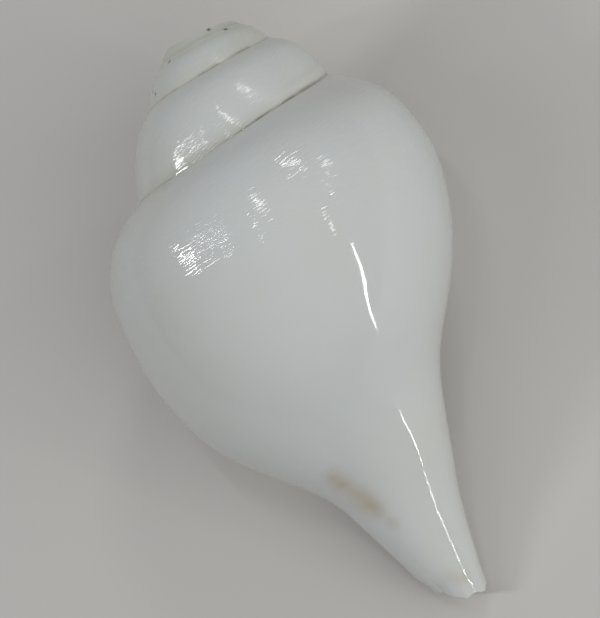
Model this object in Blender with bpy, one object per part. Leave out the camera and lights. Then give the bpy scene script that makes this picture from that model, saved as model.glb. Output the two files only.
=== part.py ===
"""A polished white chank conch, lying on its mouth, with the ground-off spire and the open canal.

The shell is one coiled sheet. A cross-section outline turns about the coiling axis and shrinks
with every whorl. Turns are counted back from the outer lip, so 0 is the lip and 1 is one whorl
before it. In the shell's own frame Z runs along the axis, with the canal tip at 0 and the spire
up, and the mouth faces -Y. Lengths are in millimetres there, and in metres once it is laid down.
"""

import math

import bmesh
import bpy
import numpy as np
from mathutils import Matrix, Vector

MM = 0.001

# Outlines from the suture down to the canal tip, as (radius, height) in millimetres: near the lip,
# half a turn back, and a whole turn back, where the lower half is the pillar inside the mouth.
LIP_TURNS = (0.13, 0.63, 1.13)
OUTLINE_AT_LIP = [
    (33.0, 125.9), (37.7, 122.3), (44.1, 116.4), (48.3, 108.0), (49.6, 96.5), (48.0, 79.5),
    (41.6, 62.0), (29.6, 47.0), (18.0, 34.5), (12.0, 21.0), (6.3, 0.0),
]
OUTLINE_HALF_BACK = [
    (26.8, 137.6), (33.5, 132.9), (39.5, 126.1), (42.8, 118.0), (43.7, 107.6), (41.0, 91.2),
    (33.5, 75.7), (24.1, 61.4), (18.3, 45.5), (13.9, 27.2), (6.5, 0.0),
]
OUTLINE_TURN_BACK = [
    (20.5, 146.4), (24.1, 143.6), (28.8, 136.4), (33.0, 125.9), (33.8, 118.5), (31.6, 107.0),
    (25.5, 96.0), (17.5, 84.0), (11.0, 66.0), (6.8, 38.0), (2.4, 0.0),
]
JOIN_POINT = 3  # the outline point where the next whorl laps onto this one
LAP_TURNS = (0.5, 1.0)  # turns over which that point moves onto the suture below
CANAL_POINTS = 6  # points up from the canal tip that shrink less and less with the whorls

CONE_TOP = 164.7  # height where the coiling cone would end
SPIRE_CUT = 159.9  # height where the spire is ground off
SUTURE_WAVES = ((0.29, 0.15, 1.9, 0.0), (0.63, 0.20, 0.5, 0.3))  # turn, spread, dip and bulge
WHORL_BULGE = 0.9  # how much fuller the spire's right side is than the growth alone makes it
WHORL_BULGE_TURN, WHORL_BULGE_SPREAD = 1.63, 0.25
BACK_WAVES = ((84.0, 15.0, -1.3), (42.0, 14.0, 1.9))  # height, spread and size of the back's waves
BACK_TURN, BACK_SPREAD = 0.45, 0.12
LIP_AZIMUTH = math.radians(-48.0)
TURNS = 3.6

CANAL_BEND = 3.9  # sideways sweep of the canal tip
CANAL_BEND_START = 28.0
CANAL_BEND_POWER = 1.5
CANAL_LIP_TURN = 0.12  # how far the lip draws back along the canal
CANAL_LIP_SHARES = (0.60, 0.95)
TIP_CHIPS = ((0.42, 2, 0.0), (0.28, 5, 1.0))  # height, waves per turn and phase along the broken tip

# Places along the outline are shares of its length, from 0 at the suture to 1 at the canal tip.
WALL = 3.4
LIP_THICKENING = 1.4
LIP_THICKENING_TURNS = 0.08
CANAL_WALL = 2.0
CANAL_WALL_SHARES = (0.55, 0.95)
CAVITY_TURNS = 0.5
CANAL_CAVITY_TURNS = 0.24
CANAL_CAVITY_SHARES = (0.45, 0.85)
ROOF_SLANT = (0.35, -0.94)  # which way the wall is thick just under the suture
ROOF_SLANT_SHARE = 0.14
ROOF_DROP = 0.03  # share of the outline between a suture and the cavity's corner
CORNER_SHARE = 0.10  # share over which the wall opens out of that corner

FOLDS = (0.545, 0.605, 0.665)  # places of the pillar's folds
FOLD_HEIGHT = 1.7
FOLD_WIDTH = 0.014
FOLD_TURNS = (0.93, 1.05)  # turns over which they rise out of the base

BLOW_HOLE_RADIUS = 4.4  # the tapered cutter's radius as far above the cut as the hole is deep
BLOW_HOLE_END_RADIUS = 2.0
BLOW_HOLE_DEPTH = 14.0
BLOW_HOLE_SIDES = 24

REST_PITCH = math.radians(18.0)  # canal tip down
REST_ROLL = math.radians(16.2)  # lip down
REST_FLAT = 0.4  # how much is worn flat where the shell touches down

COLUMNS_PER_TURN = 48
CAVITY_COLUMNS = 20
CAVITY_CROWDING = 1.3  # above 1, the cavity's columns crowd towards the lip
LIP_STEPS = 4
UPPER_ROWS = 10
LOWER_STRETCHES = ((0.51, 6), (0.70, 13), (1.0, 8))

SHELL_COLOR = (0.78, 0.80, 0.79, 1.0)
SHELL_ROUGHNESS = 0.16
SHARP_ANGLE = math.radians(40.0)


def smooth_step(value, start=0.0, end=1.0):
    """Eases from 0 at the start to 1 at the end."""
    t = np.clip((value - start) / (end - start), 0.0, 1.0)
    return t * t * (3.0 - 2.0 * t)


def spline_slopes(knots, points, start_slope=None, end_slope=None):
    """Slopes of the smooth cubic curve through the points; a free end has no bending."""
    count = len(knots)
    steps = np.diff(knots)
    system = np.zeros((count, count))
    right = np.zeros_like(points)
    for k in range(1, count - 1):
        before, after = steps[k - 1], steps[k]
        system[k, k - 1 : k + 2] = after, 2.0 * (before + after), before
        right[k] = 3.0 * (
            after * (points[k] - points[k - 1]) / before + before * (points[k + 1] - points[k]) / after
        )
    system[0, :2] = (2.0, 1.0) if start_slope is None else (1.0, 0.0)
    right[0] = 3.0 * (points[1] - points[0]) / steps[0] if start_slope is None else start_slope
    system[-1, -2:] = (1.0, 2.0) if end_slope is None else (0.0, 1.0)
    right[-1] = 3.0 * (points[-1] - points[-2]) / steps[-1] if end_slope is None else end_slope
    return np.linalg.solve(system, right)


def spline_at(knots, points, slopes, places):
    """Points of the cubic curve at each place."""
    k = np.clip(np.searchsorted(knots, places, side="right") - 1, 0, len(knots) - 2)
    step = (knots[k + 1] - knots[k])[:, None]
    t = ((places - knots[k])[:, None]) / step
    return (
        (2 * t**3 - 3 * t**2 + 1) * points[k]
        + (t**3 - 2 * t**2 + t) * step * slopes[k]
        + (3 * t**2 - 2 * t**3) * points[k + 1]
        + (t**3 - t**2) * step * slopes[k + 1]
    )


def as_logs(outline):
    """Radius and depth below the cone's top as logs, in which a whorl's growth is a straight line."""
    points = np.array(outline, float)
    return np.stack([np.log(points[:, 0]), np.log(CONE_TOP - points[:, 1])], axis=1)


LOG_OUTLINES = np.array([as_logs(o) for o in (OUTLINE_AT_LIP, OUTLINE_HALF_BACK, OUTLINE_TURN_BACK)])
GROWTH = LOG_OUTLINES[0, 0] - LOG_OUTLINES[2, 0]
GROWTH_SHARES = smooth_step(np.arange(len(OUTLINE_AT_LIP))[::-1], end=CANAL_POINTS)
GROWTH_SLOPES = np.stack(
    [
        spline_slopes(
            np.array(LIP_TURNS),
            LOG_OUTLINES[:, k],
            start_slope=(LOG_OUTLINES[1, k] - LOG_OUTLINES[0, k]) / (LIP_TURNS[1] - LIP_TURNS[0]),
            end_slope=-GROWTH * GROWTH_SHARES[k],
        )
        for k in range(len(OUTLINE_AT_LIP))
    ],
    axis=1,
)

CHORDS = np.linalg.norm(np.diff(np.array(OUTLINE_AT_LIP), axis=0), axis=1)
KNOTS = np.concatenate([[0.0], np.cumsum(CHORDS)]) / CHORDS.sum()
JOIN = KNOTS[JOIN_POINT]


def suture(turn):
    """Radius and height of the suture line above the whorl."""
    radius, depth = np.exp(LOG_OUTLINES[0, 0] - GROWTH * (turn - LIP_TURNS[0]))
    for wave_turn, spread, dip, bulge in SUTURE_WAVES:
        wave = math.exp(-(((turn - wave_turn) / spread) ** 2))
        radius, depth = radius + bulge * wave, depth + dip * wave
    return np.array([radius, CONE_TOP - depth])


def outline_points(turn):
    """The outline's control points at a turn."""
    if turn >= LIP_TURNS[2]:
        logs = LOG_OUTLINES[2] - GROWTH_SHARES[:, None] * GROWTH * (turn - LIP_TURNS[2])
    elif turn <= LIP_TURNS[0]:
        logs = LOG_OUTLINES[0] + GROWTH_SLOPES[0] * (turn - LIP_TURNS[0])
    else:
        at = np.array([turn])
        logs = np.stack(
            [
                spline_at(np.array(LIP_TURNS), LOG_OUTLINES[:, k], GROWTH_SLOPES[:, k], at)[0]
                for k in range(len(KNOTS))
            ]
        )
    points = np.stack([np.exp(logs[:, 0]), CONE_TOP - np.exp(logs[:, 1])], axis=1)
    points[0] = suture(turn)
    lapped = smooth_step(turn, *LAP_TURNS)
    points[JOIN_POINT] = points[JOIN_POINT] * (1.0 - lapped) + suture(turn - 1.0) * lapped
    return points


def outline(turn, places):
    """Radius and height of the whorl's outer face at each place along the outline."""
    points = outline_points(turn)
    face = spline_at(KNOTS, points, spline_slopes(KNOTS, points), places)
    folds = sum(np.exp(-(((places - fold) / FOLD_WIDTH) ** 2)) for fold in FOLDS)
    face[:, 0] += FOLD_HEIGHT * smooth_step(turn, *FOLD_TURNS) * folds
    fuller = math.exp(-(((turn - WHORL_BULGE_TURN) / WHORL_BULGE_SPREAD) ** 2))
    face[:, 0] += WHORL_BULGE * fuller * np.sin(np.pi * np.clip(places / JOIN, 0.0, 1.0))
    back = math.exp(-(((turn - BACK_TURN) / BACK_SPREAD) ** 2))
    waves = (size * np.exp(-(((face[:, 1] - height) / spread) ** 2)) for height, spread, size in BACK_WAVES)
    face[:, 0] += back * sum(waves)
    return face


def wall_thickness(turn, places):
    body = WALL + LIP_THICKENING * math.exp(-max(turn, 0.0) / LIP_THICKENING_TURNS)
    return body + (CANAL_WALL - body) * smooth_step(places, *CANAL_WALL_SHARES)


def inner_face(turn, places, corner):
    """Radius and height of the wall's inner face, which starts in the cavity's top corner."""
    face, step = outline(turn, places), 0.004
    along = outline(turn, np.minimum(places + step, 1.0)) - outline(turn, np.maximum(places - step, 0.0))
    along /= np.linalg.norm(along, axis=1)[:, None]
    inward = np.stack([along[:, 1], -along[:, 0]], axis=1)
    shoulder = smooth_step(places, end=ROOF_SLANT_SHARE)[:, None]
    inward = np.array(ROOF_SLANT) * (1.0 - shoulder) + inward * shoulder
    inset = face + inward * wall_thickness(turn, places)[:, None]
    opening = smooth_step(places, end=CORNER_SHARE)[:, None]
    return corner * (1.0 - opening) + inset * opening


def place(turn, radius_height):
    """A point of the shell's own frame, with the canal's sideways sweep."""
    radius, height = radius_height
    azimuth = LIP_AZIMUTH + 2.0 * math.pi * turn
    bend = CANAL_BEND * max(0.0, 1.0 - height / CANAL_BEND_START) ** CANAL_BEND_POWER
    return np.array([radius * math.cos(azimuth) - bend, radius * math.sin(azimuth), height])


def lip_turn(share):
    """Where the lip's edge lies at a share of the outline: it draws back along the canal."""
    return CANAL_LIP_TURN * float(smooth_step(share, *CANAL_LIP_SHARES))


def cavity_end(share):
    """How far in the cavity reaches: half a turn in the body, and a short way in the canal."""
    narrow = float(smooth_step(share, *CANAL_CAVITY_SHARES))
    return CAVITY_TURNS + (CANAL_CAVITY_TURNS - CAVITY_TURNS) * narrow


def chipped(turn, radius_height, share):
    """The broken canal tip is uneven: the last row is moved up and down a little."""
    if share == 1.0:
        for height, waves, phase in TIP_CHIPS:
            radius_height[1] += height * math.sin(waves * 2.0 * math.pi * turn + phase)
    return radius_height


def outline_rows():
    """Places of the rows: those that every whorl shows, then those of the body whorl alone."""
    upper = np.linspace(0.0, JOIN, UPPER_ROWS + 1)
    lower = [np.array([JOIN])]
    for end, count in LOWER_STRETCHES:
        lower.append(np.linspace(lower[-1][-1], end, count + 1)[1:])
    return upper, np.concatenate(lower)


class Coil:
    """The shell's points and faces. Each sheet is a list of columns, and a column is a list of
    point numbers from the suture down. Sheets share their border columns."""

    def __init__(self):
        self.points, self.faces = [], []
        self.upper, self.lower = outline_rows()
        self.body = self.body_columns()
        self.whorls = self.whorl_columns()
        self.pillar, self.inner = self.cavity_columns()
        self.edge = self.lip_columns()
        for sheet in (self.body, self.whorls, self.pillar, self.inner[::-1], self.edge[::-1]):
            self.face_sheet(sheet)
        self.face_dead_end()
        self.face_canal_tip()
        self.face_spire_top()

    def add(self, point):
        self.points.append(point)
        return len(self.points) - 1

    def add_face(self, *corners):
        """A face of the corners that differ, so that a sheet may taper to a point."""
        face = [c for k, c in enumerate(corners) if c != corners[k - 1]]
        if len(set(face)) > 2:
            self.faces.append(face)

    def face_sheet(self, columns):
        for left, right in zip(columns, columns[1:]):
            for k in range(len(left) - 1):
                self.add_face(left[k], left[k + 1], right[k + 1], right[k])

    def body_columns(self):
        """The body whorl's outer face below the join, once round from the lip."""
        columns = []
        for column in range(COLUMNS_PER_TURN + 1):
            points = []
            for share in self.lower:
                turn = lip_turn(share) + (1.0 - lip_turn(share)) * column / COLUMNS_PER_TURN
                face = chipped(turn, outline(turn, np.array([share]))[0], share)
                points.append(self.add(place(turn, face)))
            columns.append(points)
        return columns

    def whorl_columns(self):
        """Every whorl's outer face above the join, which is the suture of the whorl below."""
        columns = []
        for column in range(int(TURNS * COLUMNS_PER_TURN) + 1):
            turn = column / COLUMNS_PER_TURN
            top = self.add(place(turn, suture(turn))) if column else self.body[-1][0]
            middle = [self.add(place(turn, face)) for face in outline(turn, self.upper[1:-1])]
            below = self.body[column] if column <= COLUMNS_PER_TURN else columns[column - COLUMNS_PER_TURN]
            columns.append([top, *middle, below[0]])
        return columns

    def cavity_columns(self):
        """The pillar goes on inwards from the outer face, and the wall's inner face comes back."""
        pillar, inner = [self.body[-1]], []
        for column in range(CAVITY_COLUMNS + 1):
            depth = (column / CAVITY_COLUMNS) ** CAVITY_CROWDING
            roof = JOIN + ROOF_DROP * (1.0 - math.exp(-depth * CAVITY_TURNS / ROOF_DROP))
            if column:
                pillar.append([self.pillar_point(depth, share, roof) for share in self.lower])
            corner = outline(1.0 + CAVITY_TURNS * depth, np.array([roof]))[0]
            points = [pillar[-1][0]]
            for share in np.concatenate([self.upper[1:], self.lower[1:]]):
                turn = lip_turn(share) + (cavity_end(share) - lip_turn(share)) * depth
                face = chipped(turn, inner_face(turn, np.array([share]), corner)[0], share)
                points.append(self.add(place(turn, face)))
            inner.append(points)
        return pillar, inner

    def pillar_point(self, depth, share, roof):
        turn = 1.0 + cavity_end(share) * depth
        lowered = share + (roof - JOIN) * (1.0 - share) / (1.0 - JOIN)
        face = chipped(turn, outline(turn, np.array([lowered]))[0], share)
        return self.add(place(turn, face))

    def lip_columns(self):
        """The lip's rounded edge, from the outer face over to the inner one."""
        outer, inner = self.whorls[0][:-1] + self.body[0], self.inner[0]
        shares = np.concatenate([self.upper, self.lower[1:]])
        columns = [outer]
        for step in range(1, LIP_STEPS):
            angle = math.pi * step / LIP_STEPS
            points = [outer[0]]
            for row in range(1, len(outer)):
                start, end = self.points[outer[row]], self.points[inner[row]]
                ahead = lip_direction(shares[row]) * 0.5 * np.linalg.norm(end - start)
                across = (end - start) * (1.0 - math.cos(angle)) / 2.0
                points.append(self.add(start + across + ahead * math.sin(angle)))
            columns.append(points)
        return columns + [inner]

    def face_dead_end(self):
        """Closes the cavity deep inside."""
        far, near = self.inner[-1], self.pillar[-1]
        for k in range(1, len(self.upper) - 1):
            self.add_face(far[0], far[k + 1], far[k])
        self.face_sheet([near, far[len(self.upper) - 1 :]])

    def face_canal_tip(self):
        around = self.body + self.pillar[1:] + self.inner[::-1] + self.edge[-2:0:-1]
        self.faces.append([column[-1] for column in reversed(around)])

    def face_spire_top(self):
        """Closes the coil with a point, which the cut takes off again."""
        top = self.add(np.array([0.0, 0.0, CONE_TOP]))
        rim = [column[0] for column in self.whorls[-COLUMNS_PER_TURN - 1 :]] + self.whorls[-1][1:-1]
        for k, corner in enumerate(rim):
            self.add_face(corner, top, rim[k - 1])


def lip_direction(share):
    """Which way the whorl was growing at the lip."""
    edge = lip_turn(share)
    near, back = (place(turn, outline(turn, np.array([share]))[0]) for turn in (edge, edge + 0.01))
    return (near - back) / np.linalg.norm(near - back)


def fill_cut(mesh, height, direction):
    """Cuts level at a height, takes off what lies beyond it (1 above, -1 below) and closes the cut."""
    cut = bmesh.ops.bisect_plane(
        mesh,
        geom=mesh.verts[:] + mesh.edges[:] + mesh.faces[:],
        dist=1e-7,
        plane_co=(0.0, 0.0, height),
        plane_no=(0.0, 0.0, direction),
        clear_outer=True,
    )
    bmesh.ops.edgeloop_fill(mesh, edges=[e for e in cut["geom_cut"] if isinstance(e, bmesh.types.BMEdge)])


def laid_down():
    """Turns the shell's own frame so that it lies on its mouth with the spire towards +Y."""
    lie = Matrix(((-1, 0, 0, 0), (0, 0, 1, 0), (0, 1, 0, 0), (0, 0, 0, 1)))
    return Matrix.Rotation(REST_PITCH, 4, "X") @ Matrix.Rotation(REST_ROLL, 4, "Y") @ lie


def bottom_centre(mesh):
    low = Vector([min(v.co[k] for v in mesh.verts) for k in range(3)])
    high = Vector([max(v.co[k] for v in mesh.verts) for k in range(3)])
    return Vector(((low.x + high.x) / 2, (low.y + high.y) / 2, low.z))


def new_object(name, mesh, collection):
    data = bpy.data.meshes.new(name)
    mesh.to_mesh(data)
    mesh.free()
    obj = bpy.data.objects.new(name, data)
    collection.objects.link(obj)
    return obj


def new_collection(name):
    collection = bpy.data.collections.new(name)
    bpy.context.scene.collection.children.link(collection)
    return collection


def shell_material():
    material = bpy.data.materials.new("polished_shell")
    material.use_nodes = True
    shader = material.node_tree.nodes["Principled BSDF"]
    shader.inputs["Base Color"].default_value = SHELL_COLOR
    shader.inputs["Roughness"].default_value = SHELL_ROUGHNESS
    shader.inputs["Metallic"].default_value = 0.0
    return material


def add_shell(collection):
    """The shell at rest, and the matrix from its own frame in metres to where it lies."""
    coil = Coil()
    mesh = bmesh.new()
    corners = [mesh.verts.new(Vector(point) * MM) for point in coil.points]
    for face in coil.faces:
        mesh.faces.new([corners[k] for k in face])
    fill_cut(mesh, SPIRE_CUT * MM, 1)
    mesh.transform(laid_down())
    fill_cut(mesh, min(v.co.z for v in mesh.verts) + REST_FLAT * MM, -1)
    bmesh.ops.triangulate(mesh, faces=[f for f in mesh.faces if len(f.verts) > 4])
    to_rest = Matrix.Translation(-bottom_centre(mesh))
    mesh.transform(to_rest)
    shell = new_object("conch_shell", mesh, collection)
    shell.data.materials.append(shell_material())
    shell.data.shade_smooth()
    shell.data.set_sharp_from_angle(angle=SHARP_ANGLE)
    return shell, to_rest @ laid_down()


def bore_blow_hole(shell, frame, cutters):
    """A blind tapered hole down the axis from the ground face."""
    mesh = bmesh.new()
    bmesh.ops.create_cone(
        mesh,
        cap_ends=True,
        segments=BLOW_HOLE_SIDES,
        radius1=BLOW_HOLE_END_RADIUS * MM,
        radius2=BLOW_HOLE_RADIUS * MM,
        depth=2 * BLOW_HOLE_DEPTH * MM,
    )
    cutter = new_object("blow_hole_cutter", mesh, cutters)
    cutter.matrix_world = frame @ Matrix.Translation((0.0, 0.0, SPIRE_CUT * MM))
    cutter.hide_render = True
    cutter.display_type = "WIRE"
    hole = shell.modifiers.new("blow_hole", "BOOLEAN")
    hole.operation = "DIFFERENCE"
    hole.solver = "EXACT"
    hole.object = cutter


def main():
    for obj in list(bpy.data.objects):
        bpy.data.objects.remove(obj)
    shell, frame = add_shell(new_collection("conch_shell_parts"))
    bore_blow_hole(shell, frame, new_collection("cutters"))


main()
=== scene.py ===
import math

import bpy
import numpy as np
from mathutils import Matrix, Vector, noise


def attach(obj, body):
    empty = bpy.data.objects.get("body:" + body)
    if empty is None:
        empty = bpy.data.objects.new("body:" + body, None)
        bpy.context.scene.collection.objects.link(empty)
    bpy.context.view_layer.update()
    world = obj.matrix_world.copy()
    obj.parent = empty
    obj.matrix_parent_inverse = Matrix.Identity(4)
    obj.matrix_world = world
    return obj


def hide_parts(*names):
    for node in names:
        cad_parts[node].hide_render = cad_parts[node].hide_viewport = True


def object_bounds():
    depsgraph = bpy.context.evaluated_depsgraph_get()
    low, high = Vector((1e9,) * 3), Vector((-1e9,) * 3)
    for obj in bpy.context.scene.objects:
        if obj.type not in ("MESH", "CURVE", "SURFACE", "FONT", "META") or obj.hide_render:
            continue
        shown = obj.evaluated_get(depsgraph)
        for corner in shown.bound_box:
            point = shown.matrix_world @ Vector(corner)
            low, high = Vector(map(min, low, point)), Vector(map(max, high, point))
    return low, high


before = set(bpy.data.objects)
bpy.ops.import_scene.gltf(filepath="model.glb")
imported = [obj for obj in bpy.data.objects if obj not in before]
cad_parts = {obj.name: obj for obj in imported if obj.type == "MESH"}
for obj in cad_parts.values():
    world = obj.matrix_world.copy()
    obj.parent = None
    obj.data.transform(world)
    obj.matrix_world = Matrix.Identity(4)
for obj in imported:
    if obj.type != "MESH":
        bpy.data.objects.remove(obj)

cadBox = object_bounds()
mm = 0.001
print("frame loaded, box", cadBox)

# how the shell coils: outlines from the suture to the canal tip as (radius, height) in mm,
# turns counted back from the lip, the same values as the solid's. Here and below a "rise" is
# (where it starts, over how much), and a wave or bulge is (place, spread, sizes)
coil = {
    "turnsAt": (0.13, 0.63, 1.13),
    "nearLip": [
        (33.0, 125.9), (37.7, 122.3), (44.1, 116.4), (48.3, 108.0), (49.6, 96.5), (48.0, 79.5),
        (41.6, 62.0), (29.6, 47.0), (18.0, 34.5), (12.0, 21.0), (6.3, 0.0),
    ],
    "halfBack": [
        (26.8, 137.6), (33.5, 132.9), (39.5, 126.1), (42.8, 118.0), (43.7, 107.6), (41.0, 91.2),
        (33.5, 75.7), (24.1, 61.4), (18.3, 45.5), (13.9, 27.2), (6.5, 0.0),
    ],
    "turnBack": [
        (20.5, 146.4), (24.1, 143.6), (28.8, 136.4), (33.0, 125.9), (33.8, 118.5), (31.6, 107.0),
        (25.5, 96.0), (17.5, 84.0), (11.0, 66.0), (6.8, 38.0), (2.4, 0.0),
    ],
    "joinPoint": 3,
    "growthPoints": 6.0,
    "coneTop": 164.7,
    "lapRise": (0.5, 0.5),
    "sutureWaves": ((0.29, 0.15, 1.9, 0.0), (0.63, 0.20, 0.5, 0.3)),
    "whorlBulge": (1.63, 0.25, 0.9),
    "backWaves": ((84.0, 15.0, -1.3), (42.0, 14.0, 1.9)),
    "backTurn": 0.45,
    "backSpread": 0.12,
    "lipAngle": -48.0,
    "turns": 4.0,
    "canalBend": 3.9,
    "bendStart": 28.0,
    "bendPower": 1.5,
}

# the mouth: wall thickness, how deep the cavity winds, and the pillar's folds
mouth = {
    "wall": 3.4,
    "lipExtra": 1.4,
    "lipExtraTurns": 0.08,
    "canalWall": 2.0,
    "canalWallRise": (0.55, 0.4),
    "canalLipTurn": 0.12,
    "canalLipRise": (0.60, 0.35),
    "cavityTurns": 0.5,
    "canalCavityTurns": 0.24,
    "canalCavityRise": (0.45, 0.40),
    "roofSlant": (0.35, -0.94),
    "roofDrop": 0.03,
    "shoulderShare": 0.14,
    "cornerShare": 0.10,
    "folds": (0.545, 0.605, 0.665),
    "foldHeight": 1.7,
    "foldWidth": 0.014,
    "foldRise": (0.93, 0.12),
}

# how fine the mesh is, within how many mm its points are joined or cut, and the angle in degrees
# above which an edge stays sharp
fineness = {
    "columnsPerTurn": 240,
    "cavityColumns": 64,
    "cavityCrowding": 1.3,
    "lipColumns": 13,
    "lipStep": 0.01,
    "deadEndColumns": 5,
    "upperRows": 44,
    "lowerStretches": ((0.51, 26), (0.70, 34), (0.95, 22), (1.0, 12)),
    "slopeStep": 0.004,
    "joinWithin": 0.002,
    "degenerateBelow": 0.001,
    "cutWithin": 0.0001,
    "sharpAngle": 38.0,
}

# what is known about every point of the mesh, with the value where it doesn't apply
pointLayers = {"sutureDistance": 50.0, "underSuture": 1.0, "aboveNext": 50.0, "depth": 0.0, "turn": 9.0}


def smooth(value):
    t = np.clip(value, 0.0, 1.0)
    return t * t * (3.0 - 2.0 * t)


def rise(value, start, over):
    return smooth((value - start) / over)


def bell(distance, spread):
    return np.exp(-((distance / spread) ** 2))


def hermite(t, step, start, startSlope, end, endSlope):
    return (
        (2 * t**3 - 3 * t**2 + 1) * start
        + (t**3 - 2 * t**2 + t) * step * startSlope
        + (3 * t**2 - 2 * t**3) * end
        + (t**3 - t**2) * step * endSlope
    )


def slopeRule(knots):
    # the slopes of a smooth curve with free ends are this matrix times its points
    count = len(knots)
    steps = np.diff(knots)
    left, right = np.zeros((count, count)), np.zeros((count, count))
    for k in range(1, count - 1):
        before, after = steps[k - 1], steps[k]
        left[k, k - 1 : k + 2] = after, 2.0 * (before + after), before
        middle = 3.0 * (after / before - before / after)
        right[k, k - 1 : k + 2] = -3.0 * after / before, middle, 3.0 * before / after
    left[0, :2], left[-1, -2:] = (2.0, 1.0), (1.0, 2.0)
    right[0, :2] = -3.0 / steps[0], 3.0 / steps[0]
    right[-1, -2:] = -3.0 / steps[-1], 3.0 / steps[-1]
    return np.linalg.solve(left, right)


outlines = np.array([coil["nearLip"], coil["halfBack"], coil["turnBack"]])
logs = np.stack([np.log(outlines[..., 0]), np.log(coil["coneTop"] - outlines[..., 1])], axis=-1)
growth = logs[0, 0] - logs[2, 0]
growthShares = smooth(np.arange(outlines.shape[1])[::-1] / coil["growthPoints"])[:, None]
turnStep = coil["turnsAt"][1] - coil["turnsAt"][0]
turnSlopes = [(logs[1] - logs[0]) / turnStep, None, -growth * growthShares]
turnSlopes[1] = (3.0 * (logs[2] - logs[0]) / turnStep - turnSlopes[0] - turnSlopes[2]) / 4.0
chords = np.linalg.norm(np.diff(outlines[0], axis=0), axis=1)
knots = np.concatenate([[0.0], np.cumsum(chords)]) / chords.sum()
join = knots[coil["joinPoint"]]
outlineRule = slopeRule(knots)


def suture(turns):
    radius, depth = np.exp(logs[0, 0][:, None] - growth[:, None] * (turns - coil["turnsAt"][0]))
    for at, spread, dip, bulge in coil["sutureWaves"]:
        wave = bell(turns - at, spread)
        radius, depth = radius + bulge * wave, depth + dip * wave
    return np.stack([radius, coil["coneTop"] - depth], axis=-1)


def controlPoints(turns):
    t = turns[:, None, None]
    first, second, third = coil["turnsAt"]
    parts = [
        logs[0] + turnSlopes[0] * (t - first),
        hermite((t - first) / turnStep, turnStep, logs[0], turnSlopes[0], logs[1], turnSlopes[1]),
        hermite((t - second) / turnStep, turnStep, logs[1], turnSlopes[1], logs[2], turnSlopes[2]),
        logs[2] + turnSlopes[2] * (t - third),
    ]
    found = np.select([t <= first, t < second, t < third], parts[:3], parts[3])
    points = np.stack([np.exp(found[..., 0]), coil["coneTop"] - np.exp(found[..., 1])], axis=-1)
    points[:, 0] = suture(turns)
    lapped = rise(turns, *coil["lapRise"])[:, None]
    k = coil["joinPoint"]
    points[:, k] = points[:, k] * (1.0 - lapped) + suture(turns - 1.0) * lapped
    return points


def outerFace(turns, shares):
    # radius and height of the outer face, for lists of turns and of shares along the outline
    points = controlPoints(turns)
    slopes = np.einsum("ij,njk->nik", outlineRule, points)
    k = np.clip(np.searchsorted(knots, shares, side="right") - 1, 0, len(knots) - 2)
    n = np.arange(len(turns))
    step = (knots[k + 1] - knots[k])[:, None]
    t = (shares - knots[k])[:, None] / step
    face = hermite(t, step, points[n, k], slopes[n, k], points[n, k + 1], slopes[n, k + 1])
    folds = sum(bell(shares - fold, mouth["foldWidth"]) for fold in mouth["folds"])
    face[:, 0] += mouth["foldHeight"] * rise(turns, *mouth["foldRise"]) * folds
    at, spread, bulge = coil["whorlBulge"]
    face[:, 0] += bulge * bell(turns - at, spread) * np.sin(np.pi * np.clip(shares / join, 0.0, 1.0))
    waves = [size * bell(face[:, 1] - height, spread) for height, spread, size in coil["backWaves"]]
    face[:, 0] += bell(turns - coil["backTurn"], coil["backSpread"]) * sum(waves)
    return face


def innerFace(turns, shares, corners):
    # the wall's inner face starts in the cavity's top corner and runs a wall's thickness inside
    step = fineness["slopeStep"]
    before, after = np.maximum(shares - step, 0.0), np.minimum(shares + step, 1.0)
    along = outerFace(turns, after) - outerFace(turns, before)
    along /= np.linalg.norm(along, axis=1)[:, None]
    across = np.stack([along[:, 1], -along[:, 0]], axis=1)
    shoulder = smooth(shares / mouth["shoulderShare"])[:, None]
    inward = np.array(mouth["roofSlant"]) * (1.0 - shoulder) + across * shoulder
    body = mouth["wall"] + mouth["lipExtra"] * np.exp(-np.maximum(turns, 0.0) / mouth["lipExtraTurns"])
    thick = body + (mouth["canalWall"] - body) * rise(shares, *mouth["canalWallRise"])
    opening = smooth(shares / mouth["cornerShare"])[:, None]
    face = outerFace(turns, shares) + inward * thick[:, None]
    return corners * (1.0 - opening) + face * opening


def lipTurn(shares):
    return mouth["canalLipTurn"] * rise(shares, *mouth["canalLipRise"])


def cavityEnd(shares):
    narrow = rise(shares, *mouth["canalCavityRise"])
    return mouth["cavityTurns"] + (mouth["canalCavityTurns"] - mouth["cavityTurns"]) * narrow


# the canal tip is broken off unevenly: (sideways place, height) of the break in mm as seen from the back
canalTip = {
    "breakLine": [
        (-5.0, 2.2), (-2.4, 2.3), (-1.3, 2.1), (1.0, 0.0),
        (4.0, -1.9), (7.1, -1.3), (9.2, -1.7), (10.8, -0.1),
    ],
    "reach": 0.06,
    "chipHeight": 0.9,
    "chipSize": 2.2,
    "chipSeed": 7.0,
}


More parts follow.
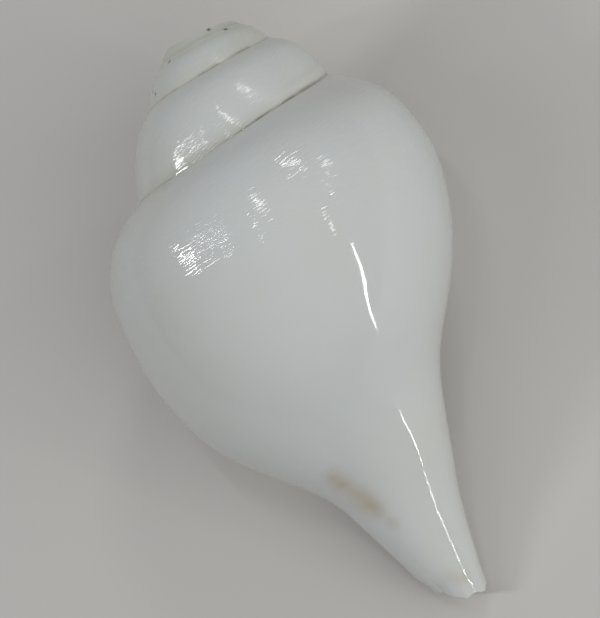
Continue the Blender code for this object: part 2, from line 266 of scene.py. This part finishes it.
def inPlace(turns, faces, shares):
    # points of the shell's own frame, with the canal's sideways sweep and the broken tip
    radius, height = faces[:, 0], faces[:, 1]
    angle = math.radians(coil["lipAngle"]) + 2.0 * math.pi * turns
    below = np.clip((coil["bendStart"] - height) / coil["bendStart"], 0.0, None)
    bend = coil["canalBend"] * below ** coil["bendPower"]
    points = np.stack([radius * np.cos(angle) - bend, radius * np.sin(angle), height], axis=1)
    atTip = smooth((shares - 1.0 + canalTip["reach"]) / canalTip["reach"])
    line = np.array(canalTip["breakLine"])
    for n in np.nonzero(atTip > 0.0)[0]:
        x, y, _ = points[n]
        chip = noise.noise(Vector((x, y, canalTip["chipSeed"])) / canalTip["chipSize"])
        points[n, 2] += atTip[n] * np.interp(-x, line[:, 0], line[:, 1])
        points[n, 2] += atTip[n] ** 3 * canalTip["chipHeight"] * chip
    return points


def sheetPoints(turns, shares, faces):
    points = inPlace(turns.ravel(), faces, shares.ravel())
    return points.reshape(turns.shape + (3,))


def addSheet(name, points, **known):
    # a grid primitive whose points are moved onto the coil, with what is known about each point
    rows, columns = points.shape[:2]
    bpy.ops.mesh.primitive_grid_add(x_subdivisions=columns - 1, y_subdivisions=rows - 1, size=1.0)
    sheet = bpy.context.object
    sheet.name = name
    sheet.data.vertices.foreach_set("co", (points * mm).astype(np.float32).ravel())
    for title, usual in pointLayers.items():
        values = np.broadcast_to(known.get(title, usual), (rows, columns))
        layer = sheet.data.attributes.new(title, "FLOAT", "POINT")
        layer.data.foreach_set("value", values.astype(np.float32).ravel())
    sheet.data.update()
    return sheet


def shellSheets():
    perTurn, rows = fineness["columnsPerTurn"], fineness["upperRows"]
    upper = join * (0.5 - 0.5 * np.cos(np.pi * np.arange(rows + 1) / rows))
    lower = [np.array([join])]
    for end, count in fineness["lowerStretches"]:
        lower.append(np.linspace(lower[-1][-1], end, count + 1)[1:])
    lower = np.concatenate(lower)
    both = np.concatenate([upper, lower[1:]])

    # every whorl's upper part
    turns, shares = np.meshgrid(np.arange(int(coil["turns"] * perTurn) + 1) / perTurn, upper)
    whorls = sheetPoints(turns, shares, outerFace(turns.ravel(), shares.ravel()))
    steps = np.linalg.norm(np.diff(whorls, axis=0), axis=2)
    fromTop = np.concatenate([np.zeros((1, steps.shape[1])), np.cumsum(steps, axis=0)])
    fromBottom = np.where(turns >= 1.0, fromTop[-1] - fromTop, pointLayers["aboveNext"])
    known = {
        "sutureDistance": np.minimum(fromTop, fromBottom),
        "underSuture": fromTop < fromBottom,
        "aboveNext": fromBottom,
        "turn": turns,
    }
    sheets = [addSheet("whorls", whorls, **known)]

    # the body whorl's lower part
    across, shares = np.meshgrid(np.linspace(0.0, 1.0, perTurn + 1), lower)
    turns = lipTurn(shares) + (1.0 - lipTurn(shares)) * across
    body = sheetPoints(turns, shares, outerFace(turns.ravel(), shares.ravel()))
    sheets.append(addSheet("body", body, turn=turns))

    # the pillar goes on inwards from the body
    count = fineness["cavityColumns"]
    crowded = (np.arange(count + 1) / count) ** fineness["cavityCrowding"]
    across, shares = np.meshgrid(crowded, lower)
    roof = join + mouth["roofDrop"] * (1.0 - np.exp(-across * mouth["cavityTurns"] / mouth["roofDrop"]))
    lowered = shares + (roof - join) * (1.0 - shares) / (1.0 - join)
    turns = 1.0 + cavityEnd(shares) * across
    pillar = sheetPoints(turns, shares, outerFace(turns.ravel(), lowered.ravel()))
    sheets.append(addSheet("pillar", pillar, depth=across, turn=turns))

    # the wall's inner face comes back to the lip
    corners = np.tile(outerFace(1.0 + mouth["cavityTurns"] * across[0], roof[0]), (len(both), 1))
    across, shares = np.meshgrid(across[0], both)
    turns = lipTurn(shares) + (cavityEnd(shares) - lipTurn(shares)) * across
    inner = sheetPoints(turns, shares, innerFace(turns.ravel(), shares.ravel(), corners))
    inner[0] = pillar[0]
    sheets.append(addSheet("inner", inner, depth=across, turn=turns))

    # the lip's rounded edge, from the outer face over to the inner one
    start = np.concatenate([whorls[:-1, 0], body[:, 0]])
    end = inner[:, 0]
    near = lipTurn(both)
    behind = near + fineness["lipStep"]
    ahead = inPlace(near, outerFace(near, both), both) - inPlace(behind, outerFace(behind, both), both)
    ahead /= np.linalg.norm(ahead, axis=1)[:, None]
    half = 0.5 * np.linalg.norm(end - start, axis=1)[:, None]
    columns = []
    for angle in np.linspace(0.0, math.pi, fineness["lipColumns"]):
        straight = start + (end - start) * (1 - math.cos(angle)) / 2
        columns.append(straight + ahead * half * math.sin(angle))
    lip = np.stack(columns, axis=1)
    lip[:, -1] = end
    sheets.append(addSheet("lip", lip, turn=near[:, None]))

    # the dead end, deep inside
    near = np.concatenate([np.repeat(pillar[:1, -1], len(upper) - 1, axis=0), pillar[:, -1]])
    shares = np.linspace(0.0, 1.0, fineness["deadEndColumns"])
    deadEnd = np.stack([near + (inner[:, -1] - near) * share for share in shares], axis=1)
    sheets.append(addSheet("deadEnd", deadEnd, depth=np.ones(deadEnd.shape[:2])))
    return sheets


# the spire is ground off flat and bored for blowing
spire = {"cutHeight": 159.9, "holeRadius": 4.4, "holeEndRadius": 2.0, "holeDepth": 14.0, "holeSides": 64}


def cutBeyond(height, normal):
    # cuts away what lies beyond a level plane, in edit mode, and closes the cut
    bpy.ops.mesh.select_all(action="SELECT")
    bpy.ops.mesh.bisect(
        plane_co=(0.0, 0.0, height),
        plane_no=(0.0, 0.0, normal),
        use_fill=True,
        clear_outer=True,
        threshold=fineness["cutWithin"] * mm,
    )


def joinSheets(sheets):
    bpy.ops.object.select_all(action="DESELECT")
    for sheet in sheets:
        sheet.select_set(True)
    bpy.context.view_layer.objects.active = sheets[0]
    bpy.ops.object.join()
    shell = bpy.context.object
    shell.name = shell.data.name = "conchShell"
    bpy.ops.object.mode_set(mode="EDIT")
    bpy.ops.mesh.select_all(action="SELECT")
    bpy.ops.mesh.remove_doubles(threshold=fineness["joinWithin"] * mm)
    bpy.ops.mesh.dissolve_degenerate(threshold=fineness["degenerateBelow"] * mm)
    cutBeyond(spire["cutHeight"] * mm, 1.0)
    bpy.ops.mesh.select_all(action="DESELECT")
    bpy.ops.mesh.select_mode(type="EDGE")
    bpy.ops.mesh.select_non_manifold(
        extend=False, use_wire=False, use_multi_face=False, use_non_contiguous=False, use_verts=False
    )
    bpy.ops.mesh.fill()
    bpy.ops.mesh.select_all(action="SELECT")
    bpy.ops.mesh.normals_make_consistent(inside=False)
    bpy.ops.object.mode_set(mode="OBJECT")
    return shell


def boreHole(shell):
    bpy.ops.object.select_all(action="DESELECT")
    bpy.ops.mesh.primitive_cone_add(
        vertices=spire["holeSides"],
        radius1=spire["holeEndRadius"] * mm,
        radius2=spire["holeRadius"] * mm,
        depth=2.0 * spire["holeDepth"] * mm,
        location=(0.0, 0.0, spire["cutHeight"] * mm),
    )
    drill = bpy.context.object
    bore = shell.modifiers.new("bore", "BOOLEAN")
    bore.operation = "DIFFERENCE"
    bore.solver = "EXACT"
    bore.object = drill
    bpy.context.view_layer.objects.active = shell
    bpy.ops.object.modifier_apply(modifier="bore")
    bpy.data.objects.remove(drill)


# what hand grinding and wear leave on the face: lengths in mm, places along the coil in turns
relief = {
    "waveHeight": 0.16,
    "waveSize": 15.0,
    "waveSeed": 3.1,
    "facetHeight": 0.05,
    "facetSize": 4.5,
    "facetSeed": 8.7,
    "mainSutureEnd": 0.9,
    "rightRise": (0.42, 0.10),
    "groundRise": (1.3, 0.8),
    "curlDepth": 0.35,
    "curlWidth": 2.0,
    "slopeDepth": 1.55,
    "slopeWidth": 6.0,
    "slopeTurn": (1.32, 0.09),
    "keelHeight": 0.35,
    "keelDistance": 2.2,
    "keelWidth": 1.3,
    "fillHeight": 0.35,
    "fillWidth": 0.9,
    "rimHeight": 0.25,
    "rimDistance": 2.6,
    "rimWidth": 1.3,
    "rimTurn": (0.64, 0.1),
    "lineDepth": 0.10,
    "lineWidth": 0.3,
    "lineLeast": 0.6,
    "lineWander": 0.8,
    "wanderSize": 3.0,
    "wanderSeed": 5.5,
    "groundShare": 0.8,
    "lineTurns": (0.1, 0.42, 0.65, 1.14, 1.35, 1.64, 2.1),
    "lineShares": (1.0, 1.0, 0.25, 0.3, 0.6, 0.6, 0.18),
    "pits": [
        (-2.7, 9.4, 159.7), (-6.3, 8.8, 156.6), (9.9, 8.5, 156.0), (16.5, 8.1, 150.1), (17.2, 5.4, 151.0),
    ],
    "pitRadii": (0.5, 0.5, 0.45, 0.4, 0.3),
    "pitDepth": 0.4,
    "flatBelowCut": 0.05,
    "turnLength": 200.0,
    "scratchLength": 3.0,
    "scratchWidth": 0.5,
    "scratchRise": 55.0,
    "scratchedFrom": (96.0, 106.0),
    "scratchLeast": 0.2,
}

# yellow-beige stains on the back of the canal, as (x, height, radius, strength), lengths in mm
stains = [
    (14.4, 41.0, 2.6, 0.85), (13.5, 38.7, 2.7, 1.0), (12.2, 36.2, 2.6, 0.85), (10.9, 33.9, 3.0, 0.9),
    (9.5, 31.6, 2.8, 1.0), (8.1, 29.5, 2.4, 1.0), (6.7, 26.8, 1.6, 0.3), (5.5, 24.3, 1.8, 0.5),
    (-2.4, 5.3, 1.8, 0.4), (-3.6, 4.2, 1.7, 0.5), (-5.0, 3.5, 1.6, 0.55),
]


def readPoints(mesh, what="co"):
    values = np.empty(len(mesh.vertices) * 3, np.float32)
    mesh.vertices.foreach_get(what, values)
    return values.reshape(-1, 3).astype(float)


def readLayer(mesh, title):
    values = np.empty(len(mesh.vertices), np.float32)
    mesh.attributes[title].data.foreach_get("value", values)
    return values.astype(float)


def writeLayer(mesh, title, values):
    layer = mesh.attributes.new(title, "FLOAT", "POINT")
    layer.data.foreach_set("value", values.astype(np.float32))


def noiseAt(points, size, seed):
    offset = Vector((seed, -seed, 2.0 * seed))
    return np.array([noise.noise(Vector(p) / size + offset) for p in points])


def wearFace(shell):
    mesh = shell.data
    points = readPoints(mesh) / mm
    normals = readPoints(mesh, "normal")
    fromSuture, fromNext = readLayer(mesh, "sutureDistance"), readLayer(mesh, "aboveNext")
    turns, under = readLayer(mesh, "turn"), readLayer(mesh, "underSuture")
    lift = relief["waveHeight"] * noiseAt(points, relief["waveSize"], relief["waveSeed"])
    lift += relief["facetHeight"] * noiseAt(points, relief["facetSize"], relief["facetSeed"])

    # sutures are counted in turns from the lip: the main one curls in on the left and has a keel
    # on the right, and the upper ones are ground shallow
    above = 1.0 - under
    sutureTurn = turns - above
    main = sutureTurn < relief["mainSutureEnd"]
    right = rise(sutureTurn, *relief["rightRise"]) * main
    ground = rise(sutureTurn, *relief["groundRise"])
    lift -= relief["curlDepth"] * above * main * (1.0 - right) * bell(fromSuture, relief["curlWidth"])
    at, spread = relief["slopeTurn"]
    lift -= relief["slopeDepth"] * (bell(fromNext, relief["slopeWidth"]) * bell(turns - at, spread))
    keel = bell(fromSuture - relief["keelDistance"], relief["keelWidth"])
    lift += relief["keelHeight"] * above * right * keel
    lift += relief["fillHeight"] * ground * bell(fromSuture, relief["fillWidth"])
    at, spread = relief["rimTurn"]
    rim = bell(fromSuture - relief["rimDistance"], relief["rimWidth"]) * under
    lift += relief["rimHeight"] * rim * bell(turns - at, spread)
    wander = relief["lineWander"] * np.abs(noiseAt(points, relief["wanderSize"], relief["wanderSeed"]))
    line = (relief["lineLeast"] + wander) * (1.0 - relief["groundShare"] * ground)
    lift -= relief["lineDepth"] * line * bell(fromSuture, relief["lineWidth"])

    # the pits are dented into the face, and the same mask later paints near-black shade into them
    pit = np.zeros(len(points))
    for centre, radius in zip(relief["pits"], relief["pitRadii"]):
        nearest = points[np.argmin(np.linalg.norm(points - centre, axis=1))]
        pit = np.maximum(pit, bell(np.linalg.norm(points - nearest, axis=1), radius))
    lift -= relief["pitDepth"] * pit
    lift[points[:, 2] > spire["cutHeight"] - relief["flatBelowCut"]] = 0.0
    mesh.vertices.foreach_set("co", ((points + normals * lift[:, None]) * mm).astype(np.float32).ravel())

    stain = np.zeros(len(points))
    for x, height, radius, strength in stains:
        away = np.hypot(points[:, 0] - x, points[:, 2] - height)
        stain = np.maximum(stain, strength * bell(away, radius) * (points[:, 1] > 0.0))
    low, high = relief["scratchedFrom"]
    least = relief["scratchLeast"]
    layers = {
        "lineShare": np.interp(sutureTurn, relief["lineTurns"], relief["lineShares"]),
        "stain": stain,
        "pit": pit,
        "scratchAlong": relief["turnLength"] * turns / relief["scratchLength"],
        "scratchAcross": (points[:, 2] - relief["scratchRise"] * turns) / relief["scratchWidth"],
        "scratched": least + (1.0 - least) * smooth((points[:, 2] - low) / (high - low)),
    }
    for title, values in layers.items():
        writeLayer(mesh, title, values)
    mesh.update()


# how it lies, in degrees, and how much is worn flat where it touches, in mm
rest = {"pitch": 18.0, "roll": 16.2, "wornFlat": 0.4}


def lieDown(shell):
    upright = Matrix(((-1, 0, 0, 0), (0, 0, 1, 0), (0, 1, 0, 0), (0, 0, 0, 1)))
    pitch = Matrix.Rotation(math.radians(rest["pitch"]), 4, "X")
    roll = Matrix.Rotation(math.radians(rest["roll"]), 4, "Y")
    turned = pitch @ roll @ upright
    shell.data.transform(turned)
    bottom = readPoints(shell.data)[:, 2].min() + rest["wornFlat"] * mm
    bpy.ops.object.mode_set(mode="EDIT")
    cutBeyond(bottom, -1.0)
    bpy.ops.object.mode_set(mode="OBJECT")
    points = readPoints(shell.data)
    low, high = points.min(axis=0), points.max(axis=0)
    middle = (low + high) / 2
    cadMiddle = (Vector(cadBox[0]) + Vector(cadBox[1])) / 2
    shift = Vector((cadMiddle.x - middle[0], cadMiddle.y - middle[1], cadBox[0][2] - low[2]))
    moved = Matrix.Translation(shift)
    shell.data.transform(moved)
    return moved @ turned


# polished shell: colours are linear, patches of noise are (scale, detail, from, to, least, most),
# and spans of a layer are (from, to, least, most)
polish = {
    "white": (0.70, 0.725, 0.715, 1.0),
    "warm": (0.70, 0.69, 0.62, 1.0),
    "cloudPatches": (28.0, 3.0, 0.35, 0.75, 0.0, 0.45),
    "sutureSpan": (5.0, 0.0, 0.0, 0.7),
    "olive": (0.63, 0.66, 0.54, 1.0),
    "oliveSpan": (2.1, 2.6),
    "olivePatches": (60.0, 1.0, 0.35, 0.6, 0.1, 0.55),
    "inside": (0.78, 0.70, 0.60, 1.0),
    "insideSpan": (0.05, 0.6, 0.0, 0.8),
    "stain": (0.53, 0.46, 0.33, 1.0),
    "stainPatches": (110.0, 1.0, 0.3, 0.65, 0.6, 0.9),
    "line": (0.27, 0.25, 0.20, 1.0),
    "lineSpan": (0.95, 0.05),
    "linePatches": (170.0, 3.0, 0.38, 0.66, 0.25, 0.95),
    # near-black painted shade for the small pits, darker than their shallow dents would look
    "pit": (0.05, 0.045, 0.04, 1.0),
    "roughPatches": (90.0, 3.0, 0.3, 0.7, 0.03, 0.075),
    "dullSpan": (1.34, 1.46, 0.0, 0.19),
    "scratchDepth": 0.000028,
    "scratchSpan": (0.32, 0.68),
    "sockets": {
        "IOR": 1.55,
        "Subsurface Weight": 0.12,
        "Subsurface Radius": (0.004, 0.0035, 0.003),
        "Subsurface Scale": 0.6,
    },
}


def polishedMaterial():
    material = bpy.data.materials.new("polishedShell")
    material.use_nodes = True
    nodes, links = material.node_tree.nodes, material.node_tree.links
    shader = nodes["Principled BSDF"]
    place = nodes.new("ShaderNodeTexCoord").outputs["Object"]

    def layer(title):
        node = nodes.new("ShaderNodeAttribute")
        node.attribute_name = title
        return node.outputs["Fac"]

    def noiseOf(scale, detail, source=place):
        node = nodes.new("ShaderNodeTexNoise")
        node.inputs["Scale"].default_value = scale
        node.inputs["Detail"].default_value = detail
        links.new(source, node.inputs["Vector"])
        return node.outputs["Fac"]

    def spread(value, low, high, least=0.0, most=1.0):
        node = nodes.new("ShaderNodeMapRange")
        node.interpolation_type = "SMOOTHSTEP"
        links.new(value, node.inputs["Value"])
        sockets = {"From Min": low, "From Max": high, "To Min": least, "To Max": most}
        for socket, number in sockets.items():
            node.inputs[socket].default_value = number
        return node.outputs["Result"]

    def patches(scale, detail, *span):
        return spread(noiseOf(scale, detail), *span)

    def maths(operation, a, b):
        node = nodes.new("ShaderNodeMath")
        node.operation = operation
        links.new(a, node.inputs[0])
        links.new(b, node.inputs[1])
        return node.outputs[0]

    def mix(fac, a, b):
        node = nodes.new("ShaderNodeMix")
        node.data_type = "RGBA"
        links.new(fac, node.inputs["Factor"])
        for socket, value in (("A", a), ("B", b)):
            target = [i for i in node.inputs if i.name == socket and i.type == "RGBA"][0]
            if isinstance(value, tuple):
                target.default_value = value
            else:
                links.new(value, target)
        return [o for o in node.outputs if o.type == "RGBA"][0]

    colour = mix(patches(*polish["cloudPatches"]), polish["white"], polish["warm"])
    colour = mix(spread(layer("sutureDistance"), *polish["sutureSpan"]), colour, polish["warm"])
    apex = maths("MULTIPLY", spread(layer("turn"), *polish["oliveSpan"]), patches(*polish["olivePatches"]))
    colour = mix(apex, colour, polish["olive"])
    colour = mix(spread(layer("depth"), *polish["insideSpan"]), colour, polish["inside"])
    stained = maths("MULTIPLY", layer("stain"), patches(*polish["stainPatches"]))
    colour = mix(stained, colour, polish["stain"])
    line = spread(layer("sutureDistance"), *polish["lineSpan"])
    line = maths("MULTIPLY", line, patches(*polish["linePatches"]))
    line = maths("MULTIPLY", line, layer("lineShare"))
    colour = mix(line, colour, polish["line"])
    # painted shade: the pits are coloured near-black, as if shade filled the small holes
    colour = mix(layer("pit"), colour, polish["pit"])
    links.new(colour, shader.inputs["Base Color"])
    # the upper whorls are less well polished
    dull = spread(layer("turn"), *polish["dullSpan"])
    links.new(maths("ADD", patches(*polish["roughPatches"]), dull), shader.inputs["Roughness"])
    for socket, value in polish["sockets"].items():
        shader.inputs[socket].default_value = value

    # grinding leaves fine scratches along the coil, which break up the glints
    alongCoil = nodes.new("ShaderNodeCombineXYZ")
    links.new(layer("scratchAlong"), alongCoil.inputs["X"])
    links.new(layer("scratchAcross"), alongCoil.inputs["Y"])
    scratches = nodes.new("ShaderNodeBump")
    links.new(layer("scratched"), scratches.inputs["Strength"])
    scratches.inputs["Distance"].default_value = polish["scratchDepth"]
    grooves = spread(noiseOf(1.0, 0.0, alongCoil.outputs["Vector"]), *polish["scratchSpan"])
    links.new(grooves, scratches.inputs["Height"])
    links.new(scratches.outputs["Normal"], shader.inputs["Normal"])
    return material


bpy.ops.object.select_all(action="DESELECT")
shell = joinSheets(shellSheets())
print("coil joined,", len(shell.data.polygons), "faces")
boreHole(shell)
wearFace(shell)
print("face worn, spire bored")
toWorld = lieDown(shell)
shell.data.shade_smooth()
bpy.ops.object.select_all(action="DESELECT")
shell.select_set(True)
bpy.context.view_layer.objects.active = shell
bpy.ops.object.shade_smooth_by_angle(angle=math.radians(fineness["sharpAngle"]))
shell.data.materials.clear()
shell.data.materials.append(polishedMaterial())
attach(shell, "root")
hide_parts("conch_shell")
print("shell laid down,", len(shell.data.polygons), "faces")

# a plain pale floor
ground = {"size": 3.0, "colour": (0.67, 0.65, 0.62, 1.0), "roughness": 0.75}
bpy.ops.mesh.primitive_plane_add(size=ground["size"], location=(0.0, 0.0, 0.0))
floor = bpy.context.object
floor.name = "paleFloor"
floorMaterial = bpy.data.materials.new("paleFloor")
floorMaterial.use_nodes = True
floorShader = floorMaterial.node_tree.nodes["Principled BSDF"]
floorShader.inputs["Base Color"].default_value = ground["colour"]
floorShader.inputs["Roughness"].default_value = ground["roughness"]
floor.data.materials.append(floorMaterial)
print("floor laid")

# the camera looks straight at the shell's back; "middle" is the point of the shell's own frame, in mm,
# that is in the middle of the picture, and "lean" turns the spire to the upper left
view = {
    "width": 600,
    "pixelsPerMm": 3.837,
    "middle": (5.05, 0.0, 84.2),
    "lean": 23.97,
    "distance": 0.8,
    "sensor": 36.0,
}


def addCamera():
    turned = toWorld.to_3x3()
    back, axis = (turned @ Vector((0, 1, 0))).normalized(), (turned @ Vector((0, 0, 1))).normalized()
    side = axis.cross(back)
    lean = math.radians(view["lean"])
    up = axis * math.cos(lean) + side * math.sin(lean)
    right = side * math.cos(lean) - axis * math.sin(lean)
    data = bpy.data.cameras.new("camera")
    data.sensor_fit = "HORIZONTAL"
    data.sensor_width = view["sensor"]
    data.lens = view["sensor"] * view["pixelsPerMm"] * view["distance"] / mm / view["width"]
    camera = bpy.data.objects.new("camera", data)
    bpy.context.scene.collection.objects.link(camera)
    target = toWorld @ (Vector(view["middle"]) * mm)
    placed = Matrix((right, up, back)).transposed().to_4x4()
    placed.translation = target + back * view["distance"]
    camera.matrix_world = placed
    bpy.context.scene.camera = camera
    return target, right, up, back


target, viewRight, viewUp, viewBack = addCamera()

# soft studio light from the right, and small lights that show as glints on the polish and add a
# little to its light. Directions are (right, up, towards the camera) from the middle of the picture,
# sizes in metres, powers in watts
studio = {
    "distance": 1.1,
    "world": {"colour": (0.92, 0.95, 1.0, 1.0), "strength": 0.185},
    "soft": {"towards": (0.45, -0.05, 0.89), "size": (1.0, 1.0), "power": 4.25},
    "strips": {
        "right": {"from": (0.742, -0.074, 0.667), "to": (0.84, -0.39, 0.378), "width": 0.014, "power": 0.9},
        "leftTail": {"from": (-0.82, -0.14, 0.55), "to": (-0.55, -0.03, 0.84), "width": 0.025, "power": 0.65},
        "leftUpper": {"from": (-0.90, 0.04, 0.43), "to": (-0.60, 0.16, 0.78), "width": 0.02, "power": 0.25},
        "middle": {"from": (-0.40, 0.48, 0.78), "to": (-0.20, 0.29, 0.94), "width": 0.05, "power": 0.5},
    },
    "glints": {
        "left": {"towards": (-0.89, -0.14, 0.43), "size": (0.24, 0.08), "power": 1.6},
        "top": {"towards": (-0.03, 0.79, 0.61), "size": (0.22, 0.12), "power": 0.9},
        "topRight": {"towards": (0.42, 0.65, 0.63), "size": (0.13, 0.04), "power": 0.25},
        "middleLow": {"towards": (-0.28, 0.08, 0.96), "size": (0.05, 0.05), "power": 0.12},
        "rightInner": {"towards": (0.56, 0.32, 0.76), "size": (0.05, 0.04), "power": 0.08},
        "rightLow": {"towards": (0.56, 0.03, 0.83), "size": (0.06, 0.09), "power": 0.18},
    },
}


def addLight(name, where, size, power, along=None):
    # an area light at a place in camera axes that faces the middle of the picture
    data = bpy.data.lights.new(name, "AREA")
    data.shape = "RECTANGLE"
    data.size, data.size_y = size
    data.energy = power
    lamp = bpy.data.objects.new(name, data)
    bpy.context.scene.collection.objects.link(lamp)
    axes = Matrix((viewRight, viewUp, viewBack)).transposed()
    away = (axes @ where).normalized()
    upright = axes @ (along or Vector((0.0, 1.0, 0.0)))
    across = upright.cross(away).normalized()
    placed = Matrix((across, away.cross(across), away)).transposed().to_4x4()
    placed.translation = target + axes @ where
    lamp.matrix_world = placed
    return lamp


def onSphere(direction):
    return Vector(direction).normalized() * studio["distance"]


soft = studio["soft"]
addLight("softLight", onSphere(soft["towards"]), soft["size"], soft["power"]).visible_glossy = False
for name, strip in studio["strips"].items():
    start, end = onSphere(strip["from"]), onSphere(strip["to"])
    span = end - start
    addLight(name, (start + end) / 2, (strip["width"], span.length), strip["power"], span)
for name, glint in studio["glints"].items():
    addLight(name, onSphere(glint["towards"]), glint["size"], glint["power"])
world = bpy.data.worlds.new("studio")
world.use_nodes = True
world.node_tree.nodes["Background"].inputs["Color"].default_value = studio["world"]["colour"]
world.node_tree.nodes["Background"].inputs["Strength"].default_value = studio["world"]["strength"]
bpy.context.scene.world = world
bpy.context.scene.view_settings.view_transform = "Standard"
print("camera and lights set")
